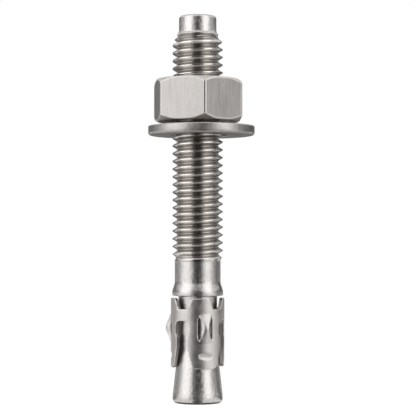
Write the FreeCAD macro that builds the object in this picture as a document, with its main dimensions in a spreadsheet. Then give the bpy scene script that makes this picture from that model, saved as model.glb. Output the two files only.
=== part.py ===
import FreeCAD, Part
import math
import os
import re

import Sketcher

# Stud-type expansion bolt, M10 x 75: a turned stud with a cone end, a folded sheet clip
# round its neck, a flat washer and a hex nut. Millimetres and degrees.
# The stud's axis is +Z, its cone-end face lies at Z = 0 and the bolt's front faces -Y.

SIZES = {
    # stud, upwards from the cone-end face
    "total_length": 75.0,
    "end_diameter": 9.7,
    "end_length": 1.9,
    "end_edge_radius": 0.95,
    "cone_length": 8.4,
    "neck_diameter": 7.5,
    "neck_length": 10.4,
    "collar_diameter": 9.86,
    "collar_length": 0.95,
    "collar_chamfer": 0.25,
    "flare_length": 1.5,
    "flare_radius": 2.0,
    "shank_diameter": 8.86,
    "shank_length": 4.15,
    "runout_length": 0.9,
    "thread_diameter": 9.8,
    "thread_end_chamfer": 0.55,
    "dog_diameter": 7.28,
    "dog_length": 3.0,
    "dog_edge_radius": 0.5,
    # nut
    "nut_place": 54.4,
    "nut_length": 8.3,
    "nut_across_flats": 16.0,
    "nut_corner_radius": 0.45,
    "nut_chamfer_diameter": 16.2,
    "nut_chamfer_angle": 40.0,
    "nut_bore_clearance": 0.1,
    "nut_countersink": 0.5,
    "nut_turn": 9.0,
    # washer
    "washer_diameter": 20.7,
    "washer_thickness": 1.8,
    "washer_chamfer": 0.3,
    "washer_hole_clearance": 0.82,
    "washer_hole_chamfer": 0.2,
    "washer_to_nut_gap": 0.8,
    "washer_offset": 0.72,
    # clip, a folded ring with three legs, sized by its room round the neck and the cone
    "sheet_thickness": 0.85,
    "clip_to_neck_gap": 0.57,
    "clip_to_cone_gap": 0.12,
    "clip_to_collar_gap": 0.4,
    "clip_turn": 17.25,
    "leg_pitch": 109.5,
    "leg_corner_radius": 1.2,
    # keyhole slot between two legs, up from the feet of the legs
    "slot_head_top": 9.1,
    "slot_head_width": 3.18,
    "slot_head_radius": 1.0,
    "slot_shoulder": 6.45,
    "slot_shoulder_drop": 0.25,
    "slot_width": 2.48,
    "slot_flare": 3.85,
    "slot_foot_width": 4.4,
    # open seam at the back
    "seam_gap": 1.2,
    "seam_slot_width": 5.4,
    "seam_foot_width": 7.4,
    # notches between the tabs of the top edge
    "notch_start": 133.75,
    "notch_pitch": 81.85,
    "notch_depth": 2.05,
    "notch_floor_width": 2.0,
    "notch_top_width": 3.9,
    "notch_floor_radius": 0.3,
    "tab_shoulder_radius": 0.8,
    # raised bridge on each leg, by the points where its slopes and its waist would meet unrounded
    "bridge_centre": 7.65,
    "bridge_length": 5.4,
    "bridge_peak": 1.18,
    "bridge_crown_radius": 2.4,
    "bridge_sheet": 0.92,
    "bridge_oval_width": 2.9,
    "bridge_oval_corner": 0.9,
    "bridge_oval_radius": 0.6,
    "bridge_slit_length": 4.7,
    "bridge_slit_play": 0.05,
    "bridge_waist_width": 0.5,
    "bridge_waist_radius": 3.0,
    "bridge_root_width": 2.4,
    # half-moon dent under each bridge
    "dent_top": 2.95,
    "dent_height": 1.3,
    "dent_toe": 0.5,
    "dent_depth": 0.22,
    # how far each cut is drawn past the metal
    "cut_overrun": 1.0,
}

doc = FreeCAD.newDocument("expansion_bolt")
sheet = doc.addObject("Spreadsheet::Sheet", "sizes")
for row, (alias, number) in enumerate(SIZES.items(), start=1):
    sheet.set(f"A{row}", alias)
    sheet.set(f"B{row}", str(number))
    sheet.setAlias(f"B{row}", alias)
doc.recompute()

# Lengths and places that follow from the sizes, as expressions of them.
CONE_TOP = "(end_length + cone_length)"
COLLAR_FOOT = f"({CONE_TOP} + neck_length)"
COLLAR_TOP = f"({COLLAR_FOOT} + collar_length)"
FLARE_TOP = f"({COLLAR_TOP} + flare_length)"
SHANK_TOP = f"({FLARE_TOP} + shank_length)"
THREAD_FOOT = f"({SHANK_TOP} + runout_length)"
THREAD_TOP = "(total_length - dog_length)"
NUT_BORE = "(thread_diameter / 2 + nut_bore_clearance)"
WASHER_HOLE = "(thread_diameter / 2 + washer_hole_clearance)"
WASHER_PLACE = "(nut_place - washer_to_nut_gap - washer_thickness)"
CLIP_INNER = "(neck_diameter / 2 + clip_to_neck_gap)"
CLIP_OUTER = f"({CLIP_INNER} + sheet_thickness)"
CONE_SLOPE = "((end_diameter - neck_diameter) / 2 / cone_length)"
CLIP_PLACE = f"({CONE_TOP} - (clip_to_neck_gap - clip_to_cone_gap) / {CONE_SLOPE})"
CLIP_LENGTH = f"({COLLAR_FOOT} - clip_to_collar_gap - {CLIP_PLACE})"
PAST_WALL = f"({CLIP_OUTER} + cut_overrun)"
PAST_CLIP_TOP = f"({CLIP_LENGTH} + cut_overrun)"
BRIDGE_PEAK = f"({CLIP_OUTER} + bridge_peak)"

# Turn of the upright plane through the middle of the first leg.
FRONT_LEG = "-leg_pitch - 90"


def linked(text):
    """The expression with each size's name pointing at its cell in the sheet."""
    return re.sub(r"[a-z]+_[a-z_]+", lambda word: "sizes." + word.group(), text)


def value(text):
    """What an expression comes to with the sizes in the sheet."""
    return float(sheet.evalExpression(linked(text)))


def new_body(name):
    body = doc.addObject("PartDesign::Body", name)
    body.Label = name
    return body


def origin_part(body, role):
    return next(item for item in body.Origin.OriginFeatures if item.Role == role)


def new_sketch(body, name, plane, turn=None):
    """A sketch on an origin plane, turned about the body's Z axis by an expression."""
    sketch = body.newObject("Sketcher::SketchObject", name)
    sketch.AttachmentSupport = (origin_part(body, plane), [""])
    sketch.MapMode = "FlatFace"
    if turn:
        turned = FreeCAD.Rotation(FreeCAD.Vector(0, 1, 0), value(turn))
        sketch.AttachmentOffset = FreeCAD.Placement(FreeCAD.Vector(), turned)
        sketch.setExpression("AttachmentOffset.Rotation.Angle", linked(turn))
    return sketch


def constrain(sketch, kind, *where, size=None):
    """One constraint. Its size, where it has one, is an expression bound to the sheet."""
    if size is None:
        sketch.addConstraint(Sketcher.Constraint(kind, *where))
        return
    index = sketch.addConstraint(Sketcher.Constraint(kind, *where, value(size)))
    sketch.setExpression(f"Constraints[{index}]", linked(size))


def hold_point(sketch, geometry, end, across, up):
    """Places a point by its distances from the sketch's origin, or on an axis."""
    if across == "0":
        constrain(sketch, "PointOnObject", geometry, end, -2)
    else:
        constrain(sketch, "DistanceX", -1, 1, geometry, end, size=across)
    if up == "0":
        constrain(sketch, "PointOnObject", geometry, end, -1)
    else:
        constrain(sketch, "DistanceY", -1, 1, geometry, end, size=up)


def draw_outline(sketch, corners):
    """A closed outline of straight sides. A corner is (across, up) or (across, up, radius)."""
    points = [FreeCAD.Vector(value(corner[0]), value(corner[1]), 0) for corner in corners]
    count = len(corners)
    arrive, leave, middle = list(points), list(points), [None] * count
    for i, corner in enumerate(corners):
        if len(corner) < 3:
            continue
        radius = value(corner[2])
        back = (points[i - 1] - points[i]).normalize()
        ahead = (points[(i + 1) % count] - points[i]).normalize()
        reach = radius / math.tan(back.getAngle(ahead) / 2)
        arrive[i] = points[i] + back * reach
        leave[i] = points[i] + ahead * reach
        inward = (back + ahead).normalize()
        middle[i] = points[i] + inward * (math.hypot(reach, radius) - radius)
    for i in range(count):
        sketch.addGeometry(Part.LineSegment(leave[i], arrive[(i + 1) % count]), False)
    for i, corner in enumerate(corners):
        before = (i - 1) % count
        if middle[i] is None:
            constrain(sketch, "Coincident", before, 2, i, 1)
            hold_point(sketch, i, 1, corner[0], corner[1])
            continue
        arc = sketch.addGeometry(Part.Arc(arrive[i], middle[i], leave[i]), False)
        forward = sketch.getPoint(arc, 1).isEqual(arrive[i], 1e-6)
        first, last = (1, 2) if forward else (2, 1)
        mark = sketch.addGeometry(Part.Point(points[i]), True)
        hold_point(sketch, mark, 1, corner[0], corner[1])
        constrain(sketch, "PointOnObject", mark, 1, before)
        constrain(sketch, "PointOnObject", mark, 1, i)
        constrain(sketch, "Tangent", before, 2, arc, first)
        constrain(sketch, "Tangent", arc, last, i, 1)
        constrain(sketch, "Radius", arc, size=corner[2])


def draw_both_sides(sketch, right_side):
    """A closed outline that is the same on both sides of the sketch's upright axis."""
    left_side = [(f"-({corner[0]})", *corner[1:]) for corner in reversed(right_side)]
    draw_outline(sketch, right_side + left_side)


def turn_profile(body, name, sketch, kind="PartDesign::Revolution"):
    """Turns a sketch round its own upright axis, adding or cutting material."""
    feature = body.newObject(kind, name)
    feature.Profile = sketch
    feature.ReferenceAxis = (sketch, ["V_Axis"])
    feature.Angle = 360
    return feature


def push_through(body, name, sketch, length):
    """Cuts a sketch out of the wall that it faces."""
    feature = body.newObject("PartDesign::Pocket", name)
    feature.Profile = sketch
    feature.Length = value(length)
    feature.setExpression("Length", linked(length))
    feature.Reversed = True
    return feature


def repeat_round(body, name, features, pitch, count):
    """Copies features round the body's Z axis, each one pitch on from the last."""
    pattern = body.newObject("PartDesign::PolarPattern", name)
    pattern.Originals = features
    pattern.Axis = (origin_part(body, "Z_Axis"), [""])
    pattern.Occurrences = count
    pattern.Angle = value(f"{pitch} * {count - 1}")
    pattern.setExpression("Angle", linked(f"{pitch} * {count - 1}"))
    body.Tip = pattern
    return pattern


def place_body(body, along="0", across="0", turn="0"):
    """Moves a finished body along the bolt's axis and turns it about that axis."""
    upright = FreeCAD.Rotation(FreeCAD.Vector(0, 0, 1), value(turn))
    body.Placement = FreeCAD.Placement(FreeCAD.Vector(value(across), 0, value(along)), upright)
    body.setExpression("Placement.Base.x", linked(across))
    body.setExpression("Placement.Base.z", linked(along))
    body.setExpression("Placement.Rotation.Angle", linked(turn))


def make_stud():
    """One turned bar: cone end, neck, collar, shank, threaded length and dog point."""
    body = new_body("stud")
    profile = new_sketch(body, "stud_profile", "XZ_Plane")
    draw_outline(
        profile,
        [
            ("0", "0"),
            ("end_diameter / 2", "0", "end_edge_radius"),
            ("end_diameter / 2", "end_length"),
            ("neck_diameter / 2", CONE_TOP),
            ("neck_diameter / 2", COLLAR_FOOT),
            ("collar_diameter / 2 - collar_chamfer", COLLAR_FOOT),
            ("collar_diameter / 2", f"{COLLAR_FOOT} + collar_chamfer"),
            ("collar_diameter / 2", COLLAR_TOP, "flare_radius"),
            ("shank_diameter / 2", FLARE_TOP, "flare_radius"),
            ("shank_diameter / 2", SHANK_TOP),
            ("thread_diameter / 2", THREAD_FOOT),
            ("thread_diameter / 2", f"{THREAD_TOP} - thread_end_chamfer"),
            ("thread_diameter / 2 - thread_end_chamfer", THREAD_TOP),
            ("dog_diameter / 2", THREAD_TOP),
            ("dog_diameter / 2", "total_length", "dog_edge_radius"),
            ("0", "total_length"),
        ],
    )
    turn_profile(body, "stud_turned", profile)
    return body


def make_nut():
    """A hexagon with rounded corners, chamfered at both ends, bored for the thread."""
    body = new_body("nut")
    hexagon = new_sketch(body, "nut_hexagon", "XY_Plane")
    corner_reach = "nut_across_flats / (2 * cos(30))"
    draw_outline(
        hexagon,
        [
            (
                f"{corner_reach} * cos({60 * i - 90})" if i % 3 else "0",
                f"{corner_reach} * sin({60 * i - 90})",
                "nut_corner_radius",
            )
            for i in range(6)
        ],
    )
    block = body.newObject("PartDesign::Pad", "nut_block")
    block.Profile = hexagon
    block.Length = value("nut_length")
    block.setExpression("Length", linked("nut_length"))
    doc.recompute()

    corner = f"({corner_reach})"
    drop = f"(({corner} - nut_chamfer_diameter / 2) * tan(nut_chamfer_angle))"
    for end, face, foot, rim in (
        ("lower", "0", drop, "-cut_overrun"),
        ("upper", "nut_length", f"nut_length - {drop}", "nut_length + cut_overrun"),
    ):
        bevel = new_sketch(body, f"nut_{end}_bevel", "XZ_Plane")
        draw_outline(
            bevel,
            [
                ("nut_chamfer_diameter / 2", face),
                (corner, foot),
                (f"{corner} + cut_overrun", foot),
                (f"{corner} + cut_overrun", rim),
                ("nut_chamfer_diameter / 2", rim),
            ],
        )
        turn_profile(body, f"nut_{end}_chamfer", bevel, "PartDesign::Groove")
        doc.recompute()

    bore = new_sketch(body, "nut_bore_profile", "XZ_Plane")
    draw_outline(
        bore,
        [
            ("0", "0"),
            (f"{NUT_BORE} + nut_countersink", "0"),
            (NUT_BORE, "nut_countersink"),
            (NUT_BORE, "nut_length - nut_countersink"),
            (f"{NUT_BORE} + nut_countersink", "nut_length"),
            ("0", "nut_length"),
        ],
    )
    turn_profile(body, "nut_bore", bore, "PartDesign::Groove")
    place_body(body, along="nut_place", turn="nut_turn")
    return body


def make_washer():
    """A flat ring with eased edges, off centre by the play of its hole."""
    body = new_body("washer")
    section = new_sketch(body, "washer_section", "XZ_Plane")
    draw_outline(
        section,
        [
            (f"{WASHER_HOLE} + washer_hole_chamfer", "0"),
            ("washer_diameter / 2 - washer_chamfer", "0"),
            ("washer_diameter / 2", "washer_chamfer"),
            ("washer_diameter / 2", "washer_thickness - washer_chamfer"),
            ("washer_diameter / 2 - washer_chamfer", "washer_thickness"),
            (f"{WASHER_HOLE} + washer_hole_chamfer", "washer_thickness"),
            (WASHER_HOLE, "washer_thickness - washer_hole_chamfer"),
            (WASHER_HOLE, "washer_hole_chamfer"),
        ],
    )
    turn_profile(body, "washer_ring", section)
    place_body(body, along=WASHER_PLACE, across="washer_offset")
    return body


def make_clip():
    """The sheet clip: a ring open at the back, with tabs above and three legs below."""
    body = new_body("expansion_clip")
    ring = new_sketch(body, "clip_ring", "XY_Plane")
    for radius in (CLIP_OUTER, CLIP_INNER):
        circle = ring.addGeometry(
            Part.Circle(FreeCAD.Vector(), FreeCAD.Vector(0, 0, 1), value(radius)), False
        )
        constrain(ring, "Coincident", circle, 3, -1, 1)
        constrain(ring, "Radius", circle, size=radius)
    wall = body.newObject("PartDesign::Pad", "clip_wall")
    wall.Profile = ring
    wall.Length = value(CLIP_LENGTH)
    wall.setExpression("Length", linked(CLIP_LENGTH))
    doc.recompute()

    cut_slots(body)
    cut_seam(body)
    cut_notches(body)
    raise_bridges(body)
    place_body(body, along=CLIP_PLACE, turn="clip_turn")
    return body


def cut_slots(body):
    """Keyhole slots between the legs, flaring out to the rounded feet of the legs."""
    slot = new_sketch(body, "slot_outline", "XZ_Plane", turn="-leg_pitch / 2")
    reach = "slot_foot_width / 2 + 2 * leg_corner_radius"
    draw_both_sides(
        slot,
        [
            ("slot_head_width / 2", "slot_head_top", "slot_head_radius"),
            ("slot_head_width / 2", "slot_shoulder + slot_shoulder_drop"),
            ("slot_width / 2", "slot_shoulder - slot_shoulder_drop"),
            ("slot_width / 2", "slot_flare"),
            ("slot_foot_width / 2", "0", "leg_corner_radius"),
            (reach, "0"),
            (reach, "-cut_overrun"),
        ],
    )
    cut = push_through(body, "slot_cut", slot, PAST_WALL)
    doc.recompute()
    repeat_round(body, "slots", [cut], "leg_pitch", 2)
    doc.recompute()


def cut_seam(body):
    """The open seam at the back, where the two ends of the folded sheet face each other."""
    seam = new_sketch(body, "seam_outline", "XZ_Plane", turn="180")
    reach = "seam_foot_width / 2 + 2 * leg_corner_radius"
    draw_both_sides(
        seam,
        [
            ("seam_gap / 2", PAST_CLIP_TOP),
            ("seam_gap / 2", "slot_head_top"),
            ("seam_slot_width / 2", "slot_head_top", "slot_head_radius"),
            ("seam_slot_width / 2", "slot_flare"),
            ("seam_foot_width / 2", "0", "leg_corner_radius"),
            (reach, "0"),
            (reach, "-cut_overrun"),
        ],
    )
    push_through(body, "seam_cut", seam, PAST_WALL)
    doc.recompute()


def cut_notches(body):
    """Notches in the top edge, leaving rounded tabs that face the collar."""
    notch = new_sketch(body, "notch_outline", "XZ_Plane", turn="-notch_start")
    reach = "notch_top_width / 2 + 2 * tab_shoulder_radius"
    draw_both_sides(
        notch,
        [
            (reach, PAST_CLIP_TOP),
            (reach, CLIP_LENGTH),
            ("notch_top_width / 2", CLIP_LENGTH, "tab_shoulder_radius"),
            ("notch_floor_width / 2", f"{CLIP_LENGTH} - notch_depth", "notch_floor_radius"),
        ],
    )
    cut = push_through(body, "notch_cut", notch, PAST_WALL)
    doc.recompute()
    repeat_round(body, "notches", [cut], "notch_pitch", 4)
    doc.recompute()


def sweep_bridge(body, name, kind, corners):
    """Turns a strip's section through the bridge's width, adding or cutting metal."""
    half_width = "(bridge_oval_width / 2 - bridge_slit_play)"
    sweep = f"2 * asin({half_width} / {BRIDGE_PEAK})"
    section = new_sketch(body, f"{name}_profile", "XZ_Plane", turn=FRONT_LEG)
    draw_outline(section, corners)
    feature = turn_profile(body, name, section, kind)
    feature.Angle = value(sweep)
    feature.setExpression("Angle", linked(sweep))
    feature.Midplane = True
    doc.recompute()
    return feature


def bridge_section(foot, surface, peak):
    """Two slopes from a surface up to a rounded crown, closed behind along the foot."""
    low = "bridge_centre - bridge_length / 2"
    high = "bridge_centre + bridge_length / 2"
    return [
        (foot, low),
        (surface, low),
        (peak, "bridge_centre", "bridge_crown_radius"),
        (surface, high),
        (foot, high),
    ]


def cut_bridge_slits(body):
    """One slit along each side of a strip, which leaves the strip waisted in an oval."""
    half_slit = "bridge_slit_length / 2"
    corner = f"({half_slit} - bridge_oval_corner)"
    slits = []
    for side, sign in (("left", "-"), ("right", "")):
        root = f"{sign}bridge_root_width / 2"
        edge = f"{sign}bridge_oval_width / 2"
        slit = new_sketch(body, f"bridge_{side}_slit", "XZ_Plane", turn="-leg_pitch")
        draw_outline(
            slit,
            [
                (root, f"bridge_centre - {half_slit}"),
                (edge, f"bridge_centre - {corner}", "bridge_oval_radius"),
                (edge, f"bridge_centre + {corner}", "bridge_oval_radius"),
                (root, f"bridge_centre + {half_slit}"),
                (f"{sign}bridge_waist_width / 2", "bridge_centre", "bridge_waist_radius"),
            ],
        )
        slits.append(push_through(body, f"bridge_{side}_cut", slit, PAST_WALL))
        doc.recompute()
    return slits


def press_dent(body):
    """A half-moon dent under a bridge, with a straight top edge and a sloping toe."""
    floor = f"{CLIP_OUTER} - dent_depth"
    outside = f"{CLIP_OUTER} + dent_depth"
    section = new_sketch(body, "dent_profile", "XZ_Plane", turn=FRONT_LEG)
    draw_outline(
        section,
        [
            (floor, "dent_top"),
            (outside, "dent_top"),
            (outside, "dent_top - dent_height - dent_toe"),
            (floor, "dent_top - dent_height + dent_toe"),
        ],
    )
    dent = push_through(body, "dent_cut", section, CLIP_OUTER)
    dent.Midplane = True
    doc.recompute()
    return dent


def raise_bridges(body):
    """On each leg a strip lanced along both sides and pushed out, over a half-moon dent."""
    strip = bridge_section(CLIP_INNER, CLIP_OUTER, BRIDGE_PEAK)
    raised = sweep_bridge(body, "bridge_strip", "PartDesign::Revolution", strip)
    hollow = bridge_section(
        f"{CLIP_INNER} - cut_overrun",
        f"{CLIP_OUTER} - bridge_sheet",
        f"{BRIDGE_PEAK} - bridge_sheet",
    )
    under = sweep_bridge(body, "bridge_hollow", "PartDesign::Groove", hollow)
    slits = cut_bridge_slits(body)
    dent = press_dent(body)
    repeat_round(body, "bridges", [raised, under, *slits, dent], "leg_pitch", 3)
    doc.recompute()


pieces = [make_stud(), make_nut(), make_washer(), make_clip()]
doc.recompute()

for item in doc.Objects:
    if "Invalid" in item.State or "Error" in item.State:
        raise RuntimeError(f"{item.Name} failed: {item.State}")
for piece in pieces:
    if piece.Shape.isNull() or not piece.Shape.isValid():
        raise RuntimeError(f"{piece.Label} has no valid shape")
    if len(piece.Shape.Solids) != 1:
        raise RuntimeError(f"{piece.Label} is {len(piece.Shape.Solids)} solids")

os.makedirs("parts", exist_ok=True)
for piece in pieces:
    piece.Shape.exportStep(f"parts/{piece.Label}.step")
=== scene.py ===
"""A stud expansion bolt: threaded stud, hex nut, flat washer and folded sheet clip."""

import math

import bmesh
import bpy
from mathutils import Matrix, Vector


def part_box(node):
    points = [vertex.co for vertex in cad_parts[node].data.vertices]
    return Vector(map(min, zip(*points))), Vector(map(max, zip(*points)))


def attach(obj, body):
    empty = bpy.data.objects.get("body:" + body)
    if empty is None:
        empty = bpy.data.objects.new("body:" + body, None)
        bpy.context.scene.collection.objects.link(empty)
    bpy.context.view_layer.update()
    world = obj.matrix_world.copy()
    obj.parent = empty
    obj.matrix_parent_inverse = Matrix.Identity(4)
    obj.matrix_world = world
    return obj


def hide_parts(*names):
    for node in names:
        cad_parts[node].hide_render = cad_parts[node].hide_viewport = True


bl_info = {
    "name": "Expansion bolt",
    "version": (1, 0, 0),
    "blender": (4, 5, 0),
    "location": "3D View > Sidebar > Bolt",
    "description": "Dresses the frame of a stud expansion bolt",
    "category": "Object",
}

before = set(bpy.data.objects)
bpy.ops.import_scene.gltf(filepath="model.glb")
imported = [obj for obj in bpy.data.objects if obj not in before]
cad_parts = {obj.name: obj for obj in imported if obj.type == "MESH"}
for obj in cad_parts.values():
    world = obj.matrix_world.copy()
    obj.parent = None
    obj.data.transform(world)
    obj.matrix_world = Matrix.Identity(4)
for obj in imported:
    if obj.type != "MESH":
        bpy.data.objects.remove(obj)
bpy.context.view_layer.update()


def mm(length):
    """Millimetres as metres."""
    return length / 1000


STUD_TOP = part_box("stud")[1][2]
NUT_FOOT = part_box("nut")[0][2]
NUT_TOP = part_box("nut")[1][2]
WASHER_LOW, WASHER_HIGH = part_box("washer")

# The stud's section from the cone end up, as its radius and height in each place.
END_RADIUS = mm(4.85)
END_LENGTH = mm(1.9)
CONE_TOP = mm(10.3)
NECK_RADIUS = mm(3.75)
COLLAR_FOOT = mm(20.7)
COLLAR_TOP = mm(21.65)
COLLAR_RADIUS = mm(4.93)
FLARE_TOP = mm(23.15)
SHANK_RADIUS = mm(4.43)
SHANK_TOP = mm(27.3)
CREST_RADIUS = mm(4.9)
THREAD_STOP = mm(71.05)
DOG_FOOT = mm(72.0)
DOG_RADIUS = mm(3.64)

# The low ridge that the dies left between the thread and the dog point.
RIDGE_FOOT_RADIUS = mm(3.78)
RIDGE_LOW = mm(71.36)
RIDGE_RADIUS = mm(4.06)
RIDGE_HIGH = mm(71.72)
RIDGE_TOP_RADIUS = mm(3.72)

# Below that ridge the crests come down, slowly at first.
TAPER_START = DOG_FOOT - mm(2.7)
TAPER_BEND = DOG_FOOT - mm(1.7)
TAPER_BEND_RADIUS = mm(4.62)

# The fine line that the tool left round the end cylinder.
GROOVE_TOP = mm(1.86)
GROOVE_MIDDLE = mm(1.8)
GROOVE_FOOT = mm(1.7)
GROOVE_DEPTH = mm(0.03)

# The thread's flanks stand at 30 degrees, and fall this much for each length along the axis.
FLANK_ANGLE = math.radians(30)
FLANK_SLOPE = math.sqrt(3)

# The angle round the axis at which the front lies.
FRONT = -math.pi / 2

# The clip's sheet, and the radius of the folded ring outside.
SHEET = mm(0.85)
CLIP_RADIUS = mm(5.17)

# Columns round a turned surface, and the steps in each rounded corner of a section.
COLUMNS = 96
CORNER_STEPS = 6

# Faces that meet at more than this are shown with a sharp edge.
SHARP_ANGLE = math.radians(32)

# One of the nut's six sides, seen from its axis.
SECTOR = math.radians(60)

# Where the painted highlight, a pale line along the nut's upright edges, starts and stops, in half
# widths of the corner.
EDGE_START = 0.7
EDGE_STOP = 1.6

# In edge breaks: the nut's flat face stops this far inside a chamfer, and its side starts past it.
FACE_STOP = 3
SIDE_START = 4

# How finely a bridge's swell is cut along and across, and where its slope would reach the leg.
SWELL_SLICES = 40
ARCH_STEPS = 16
HILL_REACH = 1.2


def srgb(code):
    """An sRGB hex colour as linear red, green, blue and alpha."""
    channels = [int(code[i : i + 2], 16) / 255 for i in (1, 3, 5)]
    linear = [c / 12.92 if c <= 0.04045 else ((c + 0.055) / 1.055) ** 2.4 for c in channels]
    return (*linear, 1.0)


def length_size(name, description, default):
    return bpy.props.FloatProperty(
        name=name, description=description, default=default, unit="LENGTH", precision=5
    )


def angle_size(name, description, degrees):
    return bpy.props.FloatProperty(
        name=name, description=description, default=math.radians(degrees), unit="ROTATION"
    )


def colour_of(name, description, code):
    return bpy.props.FloatVectorProperty(
        name=name, description=description, default=srgb(code), size=4, subtype="COLOR"
    )


class StudSettings(bpy.types.PropertyGroup):
    thread_pitch: length_size("Thread pitch", "Rise of the thread in one turn", mm(1.5))
    thread_depth: length_size("Thread depth", "From the crest down to the root", mm(0.89))
    crest_width: length_size("Crest width", "Flat along the top of the thread", mm(0.19))
    crest_height: length_size("Crest height", "A crest's height at the front", mm(29.1))
    turned_colour: colour_of("Turned steel", "Bare turned surfaces", "#D0CDCB")
    crest_colour: colour_of("Thread crest", "Crests burnished by the dies", "#E2DFDC")
    root_colour: colour_of("Thread root", "Oil and oxide left in the roots", "#A6A09B")


class NutSettings(bpy.types.PropertyGroup):
    across_flats: length_size("Across flats", "Width over two opposite faces", mm(16))
    turn: angle_size("Turn", "How far the nut is turned", 9)
    corner_radius: length_size("Corner radius", "Rounding of the six upright edges", mm(0.45))
    chamfer_radius: length_size("Chamfer radius", "Where the end chamfers begin", mm(8.1))
    chamfer_angle: angle_size("Chamfer angle", "Slope of the chamfers", 40)
    edge_break: length_size("Edge break", "Softness of the chamfers' edges", mm(0.08))
    bore_clearance: length_size("Bore clearance", "Between the two threads", mm(0.1))
    countersink: length_size("Countersink", "Bevel at each mouth of the bore", mm(0.5))
    colour: colour_of("Nut steel", "Machined faces", "#B8B4B1")
    # The chamfers and the bands beside the upright edges are painted in this paler colour: a
    # painted sheen and highlight.
    painted_sheen_colour: colour_of("Chamfers", "Lathe-cut chamfers and tumbled edges", "#DEDBD8")


class WasherSettings(bpy.types.PropertyGroup):
    hole_radius: length_size("Hole radius", "Half the washer's hole", mm(5.72))
    rolled_edge: length_size("Rolled edge", "Rounding where the punch went in", mm(0.5))
    burr_edge: length_size("Burr edge", "Rounding where the punch came out", mm(0.22))
    hole_edge: length_size("Hole edge", "Rounding of the hole's edges", mm(0.2))
    colour: colour_of("Washer steel", "Punched sheet", "#BDB9B6")


class ClipSettings(bpy.types.PropertyGroup):
    edge_rounding: length_size("Edge rounding", "Softness of the stamped edges", mm(0.11))
    turn: angle_size("Turn", "How far the front leg is turned from the front", 17.25)
    leg_pitch: angle_size("Leg pitch", "Angle from one leg to the next", 109.5)
    bridge_height: length_size("Bridge height", "Middle of the raised bridges", mm(14.51))
    bridge_rise: length_size("Bridge rise", "How far a bridge stands out of its leg", mm(1.0))
    bridge_width: length_size("Bridge width", "Width of a bridge at its waist", mm(1.9))
    root_width: length_size("Root width", "Width of a bridge where it leaves its leg", mm(2.3))
    bridge_length: length_size("Bridge length", "Length of a bridge's swell", mm(5.3))
    colour: colour_of("Clip steel", "Folded sheet", "#CAC6C3")
    # The sheared edges are painted in this pale colour: a painted highlight along every edge.
    painted_edge_highlight: colour_of("Clip edges", "Burnished sheared edges", "#F0EEEC")


class StageSettings(bpy.types.PropertyGroup):
    lamp_distance: length_size("Lamp distance", "From the bolt to each soft box", 0.6)
    lamp_height: length_size("Lamp height", "Height of each soft box", 1.1)
    lamp_strength: bpy.props.FloatProperty(
        name="Lamp strength",
        description="How bright each soft box looks, where 1 is white",
        default=0.95,
    )
    floor_colour: colour_of("Floor", "Pale floor", "#E6E6E6")


def add_node(tree, kind, inputs=None, **settings):
    """One node. An input given as a socket is linked, and any other is set on the node."""
    node = tree.nodes.new(kind)
    for name, setting in settings.items():
        setattr(node, name, setting)
    for name, source in (inputs or {}).items():
        if isinstance(source, bpy.types.NodeSocket):
            tree.links.new(source, node.inputs[name])
        else:
            node.inputs[name].default_value = source
    return node


def new_material(name):
    """An empty material and its node tree."""
    material = bpy.data.materials.new(name)
    material.use_nodes = True
    material.node_tree.nodes.clear()
    return material, material.node_tree


def per_metre(size):
    """The scale of a noise whose grains are that size."""
    return 1 / size


def grain(tree, across, along, detail=3.0):
    """Noise in the object's own space, with grains of one size across and one along Z."""
    place = add_node(tree, "ShaderNodeTexCoord")
    stretch = add_node(
        tree,
        "ShaderNodeMapping",
        {
            "Vector": place.outputs["Object"],
            "Scale": (per_metre(across), per_metre(across), per_metre(along)),
        },
    )
    return add_node(
        tree,
        "ShaderNodeTexNoise",
        {"Vector": stretch.outputs["Vector"], "Scale": 1.0, "Detail": detail, "Roughness": 0.6},
    )


def remap(tree, source, low, high, start=0.35, stop=0.65):
    """Values from start to stop, which are a noise's middle ones, stretched over a range."""
    return add_node(
        tree,
        "ShaderNodeMapRange",
        {"Value": source, "From Min": start, "From Max": stop, "To Min": low, "To Max": high},
    ).outputs["Result"]


def steel_shader(tree, colour, roughness, normal):
    """Bare stainless steel, wholly metallic."""
    shader = add_node(
        tree,
        "ShaderNodeBsdfPrincipled",
        {"Base Color": colour, "Metallic": 1.0, "Roughness": roughness, "Normal": normal},
    )
    add_node(tree, "ShaderNodeOutputMaterial", {"Surface": shader.outputs["BSDF"]})


def clouded(tree, colour, patches, depth):
    """A colour that goes slightly darker and lighter in soft patches."""
    shade = remap(tree, patches.outputs["Fac"], 1 - depth, 1.0)
    return add_node(
        tree,
        "ShaderNodeMix",
        {"Factor": 1.0, "A": colour, "B": shade},
        data_type="RGBA",
        blend_type="MULTIPLY",
    ).outputs["Result"]


def bumped(tree, height, depth, under=None):
    """A normal from a noise of that depth in metres, on top of the normal under it."""
    inputs = {"Height": height.outputs["Fac"], "Strength": 1.0, "Distance": depth}
    if under:
        inputs["Normal"] = under
    return add_node(tree, "ShaderNodeBump", inputs).outputs["Normal"]


def turned_stainless(settings):
    """Turned and tumbled bar: a granular satin with faint tool rings, both drawn coarser."""
    material, tree = new_material("turned_stainless")
    specks = grain(tree, across=mm(0.5), along=mm(0.5))
    rings = grain(tree, across=mm(8), along=mm(0.3))
    patches = grain(tree, across=mm(4), along=mm(4), detail=2.0)
    roughness = remap(tree, specks.outputs["Fac"], 0.28, 0.36)
    colour = clouded(tree, settings.turned_colour, patches, 0.05)
    colour = clouded(tree, colour, specks, 0.16)
    normal = bumped(tree, specks, mm(0.06), bumped(tree, rings, mm(0.008)))
    steel_shader(tree, colour, roughness, normal)
    return material


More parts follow.
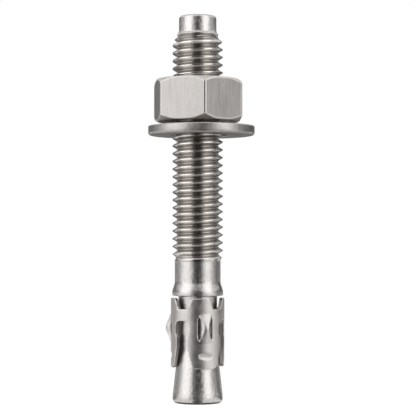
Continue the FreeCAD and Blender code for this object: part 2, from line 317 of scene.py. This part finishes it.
def rolled_stainless(settings):
    """Rolled thread: crests burnished bright, roots duller and browner with oxide and oil.

    The specks on it are drawn coarser than they are.
    """
    material, tree = new_material("rolled_thread_stainless")
    place = add_node(tree, "ShaderNodeTexCoord")
    flat = add_node(
        tree,
        "ShaderNodeVectorMath",
        {0: place.outputs["Object"], 1: (1.0, 1.0, 0.0)},
        operation="MULTIPLY",
    )
    radius = add_node(
        tree, "ShaderNodeVectorMath", {0: flat.outputs["Vector"]}, operation="LENGTH"
    )
    height = remap(
        tree,
        radius.outputs["Value"],
        0.0,
        1.0,
        start=CREST_RADIUS - settings.thread_depth,
        stop=CREST_RADIUS,
    )
    specks = grain(tree, across=mm(0.45), along=mm(0.45))
    colour = add_node(
        tree,
        "ShaderNodeMix",
        {"Factor": height, "A": settings.root_colour, "B": settings.crest_colour},
        data_type="RGBA",
    ).outputs["Result"]
    colour = clouded(tree, colour, specks, 0.12)
    roughness = remap(tree, height, 0.31, 0.24, start=0.0, stop=1.0)
    steel_shader(tree, colour, roughness, bumped(tree, specks, mm(0.016)))
    return material


def machined_stainless(settings):
    """Machined nut: upright grain of the drawn bar, drawn coarser, gives a brushed sheen."""
    material, tree = new_material("machined_stainless")
    brush = grain(tree, across=mm(0.4), along=mm(5))
    specks = grain(tree, across=mm(0.45), along=mm(0.45))
    patches = grain(tree, across=mm(4), along=mm(4), detail=2.0)
    roughness = remap(tree, brush.outputs["Fac"], 0.32, 0.42)
    colour = clouded(tree, settings.colour, patches, 0.04)
    colour = clouded(tree, colour, brush, 0.08)
    colour = clouded(tree, colour, specks, 0.05)
    normal = bumped(tree, specks, mm(0.012), bumped(tree, brush, mm(0.012)))
    steel_shader(tree, colour, roughness, normal)
    return material


def nut_painted_sheen(settings):
    """Lathe-cut chamfers and tumbled edges: fine rings scatter the light, and a paler colour
    paints a sheen and highlight on them.

    The rings are too fine to show, so specks drawn coarser stand for them.
    """
    material, tree = new_material("nut_painted_sheen")
    specks = grain(tree, across=mm(0.4), along=mm(0.4))
    colour = clouded(tree, settings.painted_sheen_colour, specks, 0.08)
    roughness = remap(tree, specks.outputs["Fac"], 0.56, 0.64)
    steel_shader(tree, colour, roughness, bumped(tree, specks, mm(0.008)))
    return material


def stamped_stainless(settings):
    """Punched washer: rolled sheet faces, and a granular break round the rim, drawn coarser."""
    material, tree = new_material("stamped_stainless")
    specks = grain(tree, across=mm(0.5), along=mm(0.6))
    patches = grain(tree, across=mm(3), along=mm(3), detail=2.0)
    roughness = remap(tree, patches.outputs["Fac"], 0.36, 0.46)
    colour = clouded(tree, settings.colour, patches, 0.08)
    colour = clouded(tree, colour, specks, 0.14)
    steel_shader(tree, colour, roughness, bumped(tree, specks, mm(0.035)))
    return material


def folded_stainless(settings):
    """Folded sheet: a satin mill finish, drawn coarser, with a painted highlight: its sheared
    edges are painted pale and made rougher.
    """
    material, tree = new_material("folded_stainless")
    specks = grain(tree, across=mm(0.45), along=mm(0.6))
    patches = grain(tree, across=mm(2.5), along=mm(2.5))
    corners = add_node(tree, "ShaderNodeNewGeometry").outputs["Pointiness"]
    # Sharp convex places, found by pointiness, get the painted edge highlight.
    edge = remap(tree, corners, 0.0, 1.0, start=0.524, stop=0.55)
    sheet = clouded(tree, settings.colour, patches, 0.08)
    sheet = clouded(tree, sheet, specks, 0.08)
    colour = add_node(
        tree,
        "ShaderNodeMix",
        {"Factor": edge, "A": sheet, "B": settings.painted_edge_highlight},
        data_type="RGBA",
    ).outputs["Result"]
    satin = remap(tree, patches.outputs["Fac"], 0.36, 0.44)
    roughness = add_node(
        tree, "ShaderNodeMix", {"Factor": edge, "A": satin, "B": 0.6}, data_type="FLOAT"
    ).outputs["Result"]
    steel_shader(tree, colour, roughness, bumped(tree, specks, mm(0.02)))
    return material


def rounded(corners):
    """The points of a section. A corner is (radius, height) or (radius, height, rounding)."""
    points = []
    for i, corner in enumerate(corners):
        here = corner[:2]
        if len(corner) < 3:
            points.append(here)
            continue
        before = corners[i - 1][:2]
        after = corners[(i + 1) % len(corners)][:2]
        back = unit(before, here)
        ahead = unit(after, here)
        half = math.acos(back[0] * ahead[0] + back[1] * ahead[1]) / 2
        reach = corner[2] / math.tan(half)
        start = (here[0] + back[0] * reach, here[1] + back[1] * reach)
        stop = (here[0] + ahead[0] * reach, here[1] + ahead[1] * reach)
        middle_way = corner[2] / math.sin(half)
        inward = unit((back[0] + ahead[0], back[1] + ahead[1]), (0.0, 0.0))
        middle = (here[0] + inward[0] * middle_way, here[1] + inward[1] * middle_way)
        first = math.atan2(start[1] - middle[1], start[0] - middle[0])
        last = math.atan2(stop[1] - middle[1], stop[0] - middle[0])
        sweep = (last - first + math.pi) % math.tau - math.pi
        for step in range(CORNER_STEPS + 1):
            angle = first + sweep * step / CORNER_STEPS
            points.append(
                (middle[0] + corner[2] * math.cos(angle), middle[1] + corner[2] * math.sin(angle))
            )
    return points


def unit(point, origin):
    """The direction from one point of a section to another."""
    across = point[0] - origin[0]
    up = point[1] - origin[1]
    size = math.hypot(across, up)
    return across / size, up / size


def add_ring(mesh, angles, radius, height):
    """A ring of points. Radius and height are numbers, or functions of the angle."""
    ring = []
    for angle in angles:
        reach = radius(angle) if callable(radius) else radius
        level = height(angle) if callable(height) else height
        ring.append(mesh.verts.new((reach * math.cos(angle), reach * math.sin(angle), level)))
    return ring


def join_rings(mesh, lower, upper):
    count = len(lower)
    for i in range(count):
        after = (i + 1) % count
        mesh.faces.new((lower[i], lower[after], upper[after], upper[i]))


def loft(mesh, angles, ring, section):
    """Carries a ring on through the points of a section, and returns the last ring."""
    for radius, height in section:
        following = add_ring(mesh, angles, radius, height)
        join_rings(mesh, ring, following)
        ring = following
    return ring


def close_ring(mesh, ring, height):
    """Fills a ring with a fan of faces from its centre."""
    centre = mesh.verts.new((0.0, 0.0, height))
    for i, point in enumerate(ring):
        mesh.faces.new((point, ring[(i + 1) % len(ring)], centre))


def even_angles(count):
    return [math.tau * i / count for i in range(count)]


def finish_piece(mesh, name, node, body, materials, offset=(0.0, 0.0)):
    """Turns the mesh into a piece that replaces a node and rides on its body."""
    bmesh.ops.recalc_face_normals(mesh, faces=mesh.faces)
    bmesh.ops.translate(mesh, verts=mesh.verts, vec=(*offset, 0.0))
    data = bpy.data.meshes.new(name)
    mesh.to_mesh(data)
    mesh.free()
    for material in materials:
        data.materials.append(material)
    data.shade_smooth()
    data.set_sharp_from_angle(angle=SHARP_ANGLE)
    piece = bpy.data.objects.new(name, data)
    bpy.context.scene.collection.objects.link(piece)
    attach(piece, body)
    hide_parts(node)


def crest_distance(settings, angle, height):
    """How far along the axis a point lies from the middle of the nearest crest."""
    turns = (height - settings.crest_height) / settings.thread_pitch - (angle - FRONT) / math.tau
    return abs(turns - round(turns)) * settings.thread_pitch


def thread_radius(settings, distance):
    """The thread's section: flat crest, straight flanks and a rounded root."""
    half_crest = settings.crest_width / 2
    half_pitch = settings.thread_pitch / 2
    rounding = root_rounding(settings)
    from_root = half_pitch - distance
    if from_root < rounding * math.cos(FLANK_ANGLE):
        root = CREST_RADIUS - settings.thread_depth
        return root + rounding - math.sqrt(rounding**2 - from_root**2)
    return CREST_RADIUS - max(0.0, distance - half_crest) * FLANK_SLOPE


def root_rounding(settings):
    """The radius of the thread's root, between two flanks of the thread's depth."""
    half_crest = settings.crest_width / 2
    half_pitch = settings.thread_pitch / 2
    return (half_pitch - half_crest) * FLANK_SLOPE - settings.thread_depth


def thread_stops(settings):
    """Where the rows of a threaded wall lie in one pitch, from one root to the next."""
    half_crest = settings.crest_width / 2
    half_pitch = settings.thread_pitch / 2
    root_edge = half_pitch - root_rounding(settings) * math.cos(FLANK_ANGLE)
    crest = [half_crest * share for share in (0.7, 1.3)]
    flank = [(half_crest + root_edge) / 2, root_edge]
    root = [root_edge + (half_pitch - root_edge) * share for share in (0.35, 0.7)]
    side = crest + flank + root
    return [-half_pitch] + [-stop for stop in reversed(side)] + [0.0] + side


def threaded_wall(mesh, settings, angles, low, high, radius_at):
    """A wall whose rows follow the thread. It ends in two level rings, which are returned."""
    pitch = settings.thread_pitch
    bottom = add_ring(mesh, angles, lambda angle: radius_at(angle, low), low)
    top = add_ring(mesh, angles, lambda angle: radius_at(angle, high), high)
    stops = thread_stops(settings)
    spare_turns = 2
    first_turn = math.floor((low - settings.crest_height) / pitch) - spare_turns
    last_turn = math.ceil((high - settings.crest_height) / pitch) + spare_turns
    rows = []
    for turn in range(first_turn, last_turn):
        for stop in stops:
            start = settings.crest_height + turn * pitch + stop
            row = []
            for i, angle in enumerate(angles):
                height = start + pitch * (angle - FRONT) / math.tau
                if height <= low:
                    row.append(bottom[i])
                elif height >= high:
                    row.append(top[i])
                else:
                    reach = radius_at(angle, height)
                    point = (reach * math.cos(angle), reach * math.sin(angle), height)
                    row.append(mesh.verts.new(point))
            rows.append(row)
    for j in range(len(rows) - 1 - len(stops)):
        for i in range(len(angles)):
            wrapped = i + 1 == len(angles)
            after = 0 if wrapped else i + 1
            step = len(stops) if wrapped else 0
            cycle = (rows[j][i], rows[j + step][after], rows[j + 1 + step][after], rows[j + 1][i])
            corners = list(dict.fromkeys(cycle))
            if len(corners) > 2:
                mesh.faces.new(corners)
    return bottom, top


def steps_between(points, height):
    """The radius at a height, on a line through points given as (height, radius)."""
    for (low, first), (high, last) in zip(points, points[1:]):
        if height <= high:
            share = max(0.0, (height - low) / (high - low))
            return first + (last - first) * share
    return points[-1][1]


def stud_radius(settings, angle, height):
    """The stud's radius in its threaded length, with its run-out and its tapered end."""
    thread = thread_radius(settings, crest_distance(settings, angle, height))
    grown = min(1.0, max(0.0, (height - SHANK_TOP) / settings.thread_pitch))
    shaded = SHANK_RADIUS + (thread - SHANK_RADIUS) * grown
    taper = [
        (TAPER_START, CREST_RADIUS),
        (TAPER_BEND, TAPER_BEND_RADIUS),
        (THREAD_STOP, RIDGE_FOOT_RADIUS),
    ]
    return min(shaded, steps_between(taper, height))


def make_stud():
    """The whole stud in one mesh, from the cone end to the dog point."""
    settings = bpy.context.scene.bolt_stud
    mesh = bmesh.new()
    angles = even_angles(COLUMNS)
    low = SHANK_TOP - mm(0.2)
    bottom, top = threaded_wall(
        mesh, settings, angles, low, THREAD_STOP, lambda a, h: stud_radius(settings, a, h)
    )
    threaded = set(mesh.faces)
    dog = rounded(
        [
            (RIDGE_FOOT_RADIUS, THREAD_STOP),
            (RIDGE_RADIUS, RIDGE_LOW, mm(0.1)),
            (RIDGE_TOP_RADIUS, RIDGE_HIGH, mm(0.12)),
            (DOG_RADIUS, DOG_FOOT + mm(0.2)),
            (DOG_RADIUS, STUD_TOP, mm(0.5)),
            (0.0, STUD_TOP),
        ]
    )
    ring = loft(mesh, angles, top, dog[1:-1])
    close_ring(mesh, ring, STUD_TOP)
    foot = rounded(
        [
            (SHANK_RADIUS, low),
            (SHANK_RADIUS, FLARE_TOP, mm(2.0)),
            (COLLAR_RADIUS, COLLAR_TOP, mm(2.0)),
            (COLLAR_RADIUS, COLLAR_FOOT, mm(0.25)),
            (NECK_RADIUS, COLLAR_FOOT, mm(0.2)),
            (NECK_RADIUS, CONE_TOP, mm(1.5)),
            (END_RADIUS, END_LENGTH, mm(0.4)),
            (END_RADIUS, GROOVE_TOP),
            (END_RADIUS - GROOVE_DEPTH, GROOVE_MIDDLE),
            (END_RADIUS, GROOVE_FOOT),
            (END_RADIUS, 0.0, mm(0.95)),
            (0.0, 0.0),
        ]
    )
    ring = loft(mesh, angles, bottom, foot[1:-1])
    close_ring(mesh, ring, 0.0)
    for face in mesh.faces:
        rolled = face in threaded and face.calc_center_median().z > SHANK_TOP
        face.material_index = 1 if rolled else 0
    materials = [turned_stainless(settings), rolled_stainless(settings)]
    finish_piece(mesh, "threaded_stud", "stud", "stud", materials)


def in_nut_sheen(settings, face):
    """Whether a face of the nut's outside gets the painted sheen: a chamfer, or a band beside a
    tumbled upright edge.
    """
    centre = face.calc_center_median()
    radius = math.hypot(centre.x, centre.y)
    if radius < settings.chamfer_radius - FACE_STOP * settings.edge_break:
        return False
    angle = math.atan2(centre.y, centre.x)
    away = abs((angle - settings.turn) % SECTOR - SECTOR / 2) / corner_sweep(settings)
    from_end = min(NUT_TOP - centre.z, centre.z - NUT_FOOT)
    chamfered = from_end < chamfer_drop(settings, angle) + SIDE_START * settings.edge_break
    return chamfered or EDGE_START < away < EDGE_STOP


def chamfer_drop(settings, angle):
    """How far from the nut's end its chamfer meets the side."""
    width = hexagon_radius(settings, angle) - settings.chamfer_radius
    return max(settings.edge_break, width * math.tan(settings.chamfer_angle))


def nut_angles(settings):
    """Columns round the nut, close together on its rounded corners and beside them."""
    reach = corner_sweep(settings)
    beside = reach * EDGE_STOP
    flat = SECTOR - 2 * beside
    half_steps = 4
    flat_steps = 10
    angles = []
    for i in range(6):
        corner = SECTOR * (i + 0.5) + settings.turn
        turns = range(-half_steps, half_steps + 1)
        angles += [corner + reach * step / half_steps for step in turns]
        angles += [corner + beside + flat * step / flat_steps for step in range(flat_steps + 1)]
    return sorted(angle % math.tau for angle in angles)


def corner_sweep(settings):
    """Half the angle that one rounded corner takes, seen from the axis."""
    rounding = settings.corner_radius
    middle = (settings.across_flats / 2 - rounding) / math.cos(SECTOR / 2)
    side = rounding * math.sin(SECTOR / 2)
    return math.atan2(side, middle + rounding * math.cos(SECTOR / 2))


def hexagon_radius(settings, angle, inset=0.0):
    """The nut's outline: flats joined by rounded corners."""
    half = settings.across_flats / 2 - inset
    away = (angle - settings.turn) % SECTOR - SECTOR / 2
    rounding = settings.corner_radius
    hair = 1e-6
    if abs(away) < corner_sweep(settings) + hair:
        middle = (half - rounding) / math.cos(SECTOR / 2)
        across = middle * math.sin(away)
        return middle * math.cos(away) + math.sqrt(rounding**2 - across**2)
    return half / math.cos(SECTOR / 2 - abs(away))


def chamfer_section(settings, end, inward):
    """One end of the nut, from its flat face out to its side. Inward is 1 at the foot, or -1."""
    edge = settings.edge_break

    def row(inset, past):
        def reach(angle):
            return hexagon_radius(settings, angle, inset * edge)

        def level(angle):
            return end + inward * (chamfer_drop(settings, angle) + past * edge)

        return reach, level

    face = [
        (settings.chamfer_radius - 2 * FACE_STOP * edge, end),
        (settings.chamfer_radius - FACE_STOP * edge, end + inward * 0.3 * edge),
    ]
    return face + [row(1.5, 0.0), row(0.5, 0.7), row(0.0, 2.0), row(0.0, SIDE_START)]


def make_nut():
    """A hexagon nut with chamfered ends and a threaded bore."""
    settings = bpy.context.scene.bolt_nut
    stud = bpy.context.scene.bolt_stud
    mesh = bmesh.new()
    angles = nut_angles(settings)
    bore = CREST_RADIUS + settings.bore_clearance
    thread_height = 0.85 * stud.thread_depth
    deepest = bore - thread_height

    def bore_radius(angle, height):
        thread = thread_radius(stud, crest_distance(stud, angle, height))
        fitted = max(deepest, thread + settings.bore_clearance)
        from_end = min(height - NUT_FOOT, NUT_TOP - height)
        return max(fitted, bore + settings.countersink - from_end)

    low, high = threaded_wall(mesh, stud, angles, NUT_FOOT, NUT_TOP, bore_radius)
    section = chamfer_section(settings, NUT_TOP, -1) + chamfer_section(settings, NUT_FOOT, 1)[::-1]
    ring = loft(mesh, angles, high, section)
    join_rings(mesh, ring, low)
    for face in mesh.faces:
        # Chamfers and the bands beside the upright edges take the pale material, which paints a
        # sheen and highlight on them.
        face.material_index = 1 if in_nut_sheen(settings, face) else 0
    materials = [machined_stainless(settings), nut_painted_sheen(settings)]
    finish_piece(mesh, "hex_nut", "nut", "nut", materials)


def make_washer():
    """A punched flat washer, its rim rolled below and sharper above."""
    settings = bpy.context.scene.bolt_washer
    mesh = bmesh.new()
    angles = even_angles(COLUMNS)
    low = WASHER_LOW[2]
    high = WASHER_HIGH[2]
    outer = (WASHER_HIGH[0] - WASHER_LOW[0]) / 2
    section = rounded(
        [
            (settings.hole_radius, low, settings.hole_edge),
            (outer, low, settings.rolled_edge),
            (outer, high, settings.burr_edge),
            (settings.hole_radius, high, settings.hole_edge),
        ]
    )
    first = add_ring(mesh, angles, *section[0])
    last = loft(mesh, angles, first, section[1:])
    join_rings(mesh, last, first)
    middle = (WASHER_LOW[0] + WASHER_HIGH[0]) / 2
    materials = [stamped_stainless(settings)]
    offset = (middle, 0.0)
    finish_piece(mesh, "flat_washer", "washer", "washer", materials, offset)


def swell_bridge(mesh, settings, angle):
    """The body of a raised bridge: a waisted hill, rounded across, drawn out of its leg."""
    sunk = SHEET / 4
    base = CLIP_RADIUS - sunk
    half_length = settings.bridge_length / 2
    flare = settings.root_width - settings.bridge_width
    arch = [math.pi * step / ARCH_STEPS for step in range(ARCH_STEPS + 1)]
    rings = []
    for step in range(SWELL_SLICES + 1):
        along = 2 * step / SWELL_SLICES - 1
        away = abs(along) / HILL_REACH
        hill = 1 - away**2 * (3 - 2 * away)
        rise = sunk + settings.bridge_rise * hill
        half_width = (settings.bridge_width + flare * along**2) / 2
        outline = [(half_width * math.cos(turn), rise * math.sin(turn)) for turn in arch]
        outline += [(-half_width, -sunk), (half_width, -sunk)]
        ring = []
        for across, outward in outline:
            radius = base + outward
            place = (
                radius * math.cos(angle) - across * math.sin(angle),
                radius * math.sin(angle) + across * math.cos(angle),
                settings.bridge_height + along * half_length,
            )
            ring.append(mesh.verts.new(place))
        rings.append(ring)
    faces = [mesh.faces.new(rings[0]), mesh.faces.new(rings[-1])]
    for lower, upper in zip(rings, rings[1:]):
        for i, point in enumerate(lower):
            after = (i + 1) % len(lower)
            faces.append(mesh.faces.new((point, lower[after], upper[after], upper[i])))
    bmesh.ops.recalc_face_normals(mesh, faces=faces)


def make_clip():
    """The folded clip, from the frame's own solid with its stamped edges softened."""
    settings = bpy.context.scene.bolt_clip
    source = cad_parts["expansion_clip"]
    blank = bmesh.new()
    blank.from_mesh(source.data)
    for leg in (-1, 0, 1):
        swell_bridge(blank, settings, FRONT + settings.turn + leg * settings.leg_pitch)
    data = bpy.data.meshes.new("clip_blank")
    blank.to_mesh(data)
    blank.free()
    copy = bpy.data.objects.new("clip_blank", data)
    bpy.context.scene.collection.objects.link(copy)
    remesh = copy.modifiers.new("blank", "REMESH")
    remesh.mode = "VOXEL"
    remesh.voxel_size = settings.edge_rounding
    soften = copy.modifiers.new("soften", "SMOOTH")
    soften.factor = 0.5
    soften.iterations = 5
    mesh = bmesh.new()
    mesh.from_object(copy, bpy.context.evaluated_depsgraph_get())
    bpy.data.objects.remove(copy)
    materials = [folded_stainless(settings)]
    finish_piece(mesh, "sheet_clip", "expansion_clip", "clip", materials)


def white_to_lens(tree, plain, white):
    """White for what the lens, a reflection or clear glass shows, and plain for the rest."""
    path = add_node(tree, "ShaderNodeLightPath")
    seen = add_node(
        tree,
        "ShaderNodeMath",
        {0: path.outputs["Is Camera Ray"], 1: path.outputs["Is Glossy Ray"]},
        operation="MAXIMUM",
    )
    seen = add_node(
        tree,
        "ShaderNodeMath",
        {0: seen.outputs[0], 1: path.outputs["Is Transmission Ray"]},
        operation="MAXIMUM",
    )
    return add_node(
        tree, "ShaderNodeMixShader", {0: seen.outputs[0], 1: plain, 2: white}
    ).outputs["Shader"]


def make_world():
    """A white room for lens and reflections, which lights the bolt softly."""
    world = bpy.data.worlds.new("white_room")
    world.use_nodes = True
    tree = world.node_tree
    tree.nodes.clear()
    plain = add_node(tree, "ShaderNodeBackground", {"Color": srgb("#FFFFFF"), "Strength": 0.55})
    white = add_node(tree, "ShaderNodeBackground", {"Color": srgb("#FFFFFF"), "Strength": 1.0})
    surface = white_to_lens(tree, plain.outputs[0], white.outputs[0])
    add_node(tree, "ShaderNodeOutputWorld", {"Surface": surface})
    bpy.context.scene.world = world


def floor_finish(settings):
    """Matt white board that keeps the bolt's shadow and goes to plain white away from it."""
    material, tree = new_material("matt_board")
    board = add_node(tree, "ShaderNodeBsdfDiffuse", {"Color": settings.floor_colour})
    pale = add_node(tree, "ShaderNodeBsdfDiffuse", {"Color": srgb("#FFFFFF")})
    lift = add_node(tree, "ShaderNodeEmission", {"Color": srgb("#FFFFFF"), "Strength": 0.45})
    near = add_node(
        tree, "ShaderNodeAddShader", {0: pale.outputs["BSDF"], 1: lift.outputs["Emission"]}
    )
    white = add_node(tree, "ShaderNodeEmission", {"Color": srgb("#FFFFFF"), "Strength": 1.0})
    place = add_node(tree, "ShaderNodeTexCoord")
    away = add_node(
        tree, "ShaderNodeVectorMath", {0: place.outputs["Object"]}, operation="LENGTH"
    ).outputs["Value"]
    fade = remap(tree, away, 0.0, 1.0, start=mm(20), stop=mm(70))
    shown = add_node(
        tree,
        "ShaderNodeMixShader",
        {0: fade, 1: near.outputs["Shader"], 2: white.outputs["Emission"]},
    )
    surface = white_to_lens(tree, board.outputs["BSDF"], shown.outputs["Shader"])
    add_node(tree, "ShaderNodeOutputMaterial", {"Surface": surface})
    return material


def stage_panel(name, corners, material):
    """A flat stage piece through its corners."""
    mesh = bpy.data.meshes.new(name)
    mesh.from_pydata(corners, [], [tuple(range(len(corners)))])
    mesh.materials.append(material)
    panel = bpy.data.objects.new(name, mesh)
    bpy.context.scene.collection.objects.link(panel)
    return panel


def card(name, code, corners):
    """A plain grey card that only reflections see."""
    material, tree = new_material("card_board")
    board = add_node(tree, "ShaderNodeEmission", {"Color": srgb(code), "Strength": 1.0})
    add_node(tree, "ShaderNodeOutputMaterial", {"Surface": board.outputs["Emission"]})
    panel = stage_panel(name, corners, material)
    panel.visible_camera = False
    panel.visible_shadow = False
    panel.visible_diffuse = False


def from_front(distance, degrees, height):
    """A point by its distance from the bolt's axis and its angle from the front."""
    angle = math.radians(degrees)
    return distance * math.sin(angle), -distance * math.cos(angle), height


def make_cards():
    """Grey cards round the bolt between the soft boxes, and on the floor round its foot."""
    far = 0.75
    level = mm(0.05)
    arc_steps = 12
    # Upright cards: where each starts and stops in degrees from the front, its height and colour.
    for name, start, stop, height, code in (
        ("card_front_left", -30, 0, 0.56, "#141414"),
        ("card_front_right", 0, 30, 0.56, "#141414"),
        ("card_left", -122, -87, 0.26, "#9A9A9A"),
        ("card_back_left", -152, -122, 0.26, "#545454"),
        ("card_back", 152, 208, 1.6, "#989898"),
        ("card_back_right", 110, 152, 0.26, "#404040"),
        ("card_right", 70, 110, 0.26, "#8C8C8C"),
    ):
        low = [from_front(far, angle, 0.0) for angle in (start, stop)]
        high = [from_front(far, angle, height) for angle in (stop, start)]
        card(name, code, low + high)
    # Cards on the floor: the same degrees, how near and how far each reaches, and its colour.
    for name, start, stop, near, reach, code in (
        # A dark card under the foot's rounding stands for the shade beneath the foot in
        # reflections: painted shade.
        ("shade_card_under_foot", -150, 150, mm(3.7), mm(4.8), "#3C3C3C"),
        ("card_foot_front", -14, 14, mm(4.8), mm(13), "#585858"),
        ("card_foot_left", -90, -14, mm(4.8), mm(13), "#FFFFFF"),
        ("card_foot_right", 14, 90, mm(4.8), mm(13), "#FFFFFF"),
        ("card_foot_back_left", -150, -90, mm(4.8), mm(20), "#5C5C5C"),
        ("card_foot_back_right", 90, 150, mm(4.8), mm(20), "#5C5C5C"),
        ("card_floor_front", -30, 30, mm(13), far, "#141414"),
        ("card_floor_left", -125, -108, mm(20), far, "#909090"),
        ("card_floor_right", 98, 125, mm(20), far, "#707070"),
        ("card_floor_back", 150, 210, mm(60), far, "#6C6C6C"),
    ):
        turns = [start + (stop - start) * step / arc_steps for step in range(arc_steps + 1)]
        inner = [from_front(near, angle, level) for angle in turns]
        outer = [from_front(reach, angle, level) for angle in reversed(turns)]
        card(name, code, inner + outer)


def soft_box(name, settings, degrees, width, share):
    """A tall area lamp that faces the bolt from one side, with its share of the strength."""
    light = bpy.data.lights.new(name, "AREA")
    light.shape = "RECTANGLE"
    light.size = width
    light.size_y = settings.lamp_height
    light.energy = share * settings.lamp_strength * math.pi * width * settings.lamp_height
    lamp = bpy.data.objects.new(name, light)
    lamp.location = from_front(settings.lamp_distance, degrees, settings.lamp_height / 2)
    lamp.rotation_euler = (math.radians(90), 0.0, math.radians(degrees))
    bpy.context.scene.collection.objects.link(lamp)


def make_camera():
    """Level with the shank's middle, a short way off, tipped up a little."""
    lens_pixels = 1530
    image_pixels = 416
    to_the_right = mm(2)
    in_front = mm(297)
    above_the_floor = mm(31)
    tip = 1.29
    data = bpy.data.cameras.new("camera")
    data.sensor_width = 36.0
    data.lens = data.sensor_width * lens_pixels / image_pixels
    camera = bpy.data.objects.new("camera", data)
    camera.location = (to_the_right, -in_front, above_the_floor)
    camera.rotation_euler = (math.radians(90 + tip), 0.0, 0.0)
    bpy.context.scene.collection.objects.link(camera)
    bpy.context.scene.camera = camera


def make_stage():
    """Floor, white room, two soft boxes, cards between them, and the camera."""
    settings = bpy.context.scene.bolt_stage
    bpy.context.scene.view_settings.view_transform = "Standard"
    make_world()
    reach = 2.0
    corners = [
        (-reach, -reach, 0.0),
        (reach, -reach, 0.0),
        (reach, reach, 0.0),
        (-reach, reach, 0.0),
    ]
    stage_panel("floor", corners, floor_finish(settings))
    soft_box("soft_box_left", settings, -58, 0.64, 1.0)
    soft_box("soft_box_right", settings, 50, 0.44, 1.12)
    make_cards()
    make_camera()


class BOLT_OT_stud(bpy.types.Operator):
    """Make the threaded stud"""

    bl_idname = "bolt.stud"
    bl_label = "Threaded stud"

    def execute(self, context):
        make_stud()
        return {"FINISHED"}


class BOLT_OT_nut(bpy.types.Operator):
    """Make the hex nut"""

    bl_idname = "bolt.nut"
    bl_label = "Hex nut"

    def execute(self, context):
        make_nut()
        return {"FINISHED"}


class BOLT_OT_washer(bpy.types.Operator):
    """Make the flat washer"""

    bl_idname = "bolt.washer"
    bl_label = "Flat washer"

    def execute(self, context):
        make_washer()
        return {"FINISHED"}


class BOLT_OT_clip(bpy.types.Operator):
    """Make the folded expansion clip"""

    bl_idname = "bolt.clip"
    bl_label = "Expansion clip"

    def execute(self, context):
        make_clip()
        return {"FINISHED"}


class BOLT_OT_stage(bpy.types.Operator):
    """Set up the floor, the light and the camera"""

    bl_idname = "bolt.stage"
    bl_label = "Stage"

    def execute(self, context):
        make_stage()
        return {"FINISHED"}


class BOLT_PT_panel(bpy.types.Panel):
    """The bolt's pieces and their sizes"""

    bl_idname = "BOLT_PT_panel"
    bl_label = "Expansion bolt"
    bl_space_type = "VIEW_3D"
    bl_region_type = "UI"
    bl_category = "Bolt"

    def draw(self, context):
        for name in SETTINGS:
            settings = getattr(context.scene, f"bolt_{name}")
            box = self.layout.box()
            box.operator(f"bolt.{name}")
            for size in settings.__annotations__:
                box.prop(settings, size)


SETTINGS = {
    "stud": StudSettings,
    "nut": NutSettings,
    "washer": WasherSettings,
    "clip": ClipSettings,
    "stage": StageSettings,
}
OPERATORS = (BOLT_OT_stud, BOLT_OT_nut, BOLT_OT_washer, BOLT_OT_clip, BOLT_OT_stage)


def register():
    for name, group in SETTINGS.items():
        bpy.utils.register_class(group)
        setattr(bpy.types.Scene, f"bolt_{name}", bpy.props.PointerProperty(type=group))
    for operator in OPERATORS:
        bpy.utils.register_class(operator)
    bpy.utils.register_class(BOLT_PT_panel)


def unregister():
    bpy.utils.unregister_class(BOLT_PT_panel)
    for operator in reversed(OPERATORS):
        bpy.utils.unregister_class(operator)
    for name, group in SETTINGS.items():
        delattr(bpy.types.Scene, f"bolt_{name}")
        bpy.utils.unregister_class(group)


def main():
    """Makes every piece and the stage."""
    register()
    bpy.ops.bolt.stud()
    bpy.ops.bolt.nut()
    bpy.ops.bolt.washer()
    bpy.ops.bolt.clip()
    bpy.ops.bolt.stage()


if __name__ == "__main__":
    main()
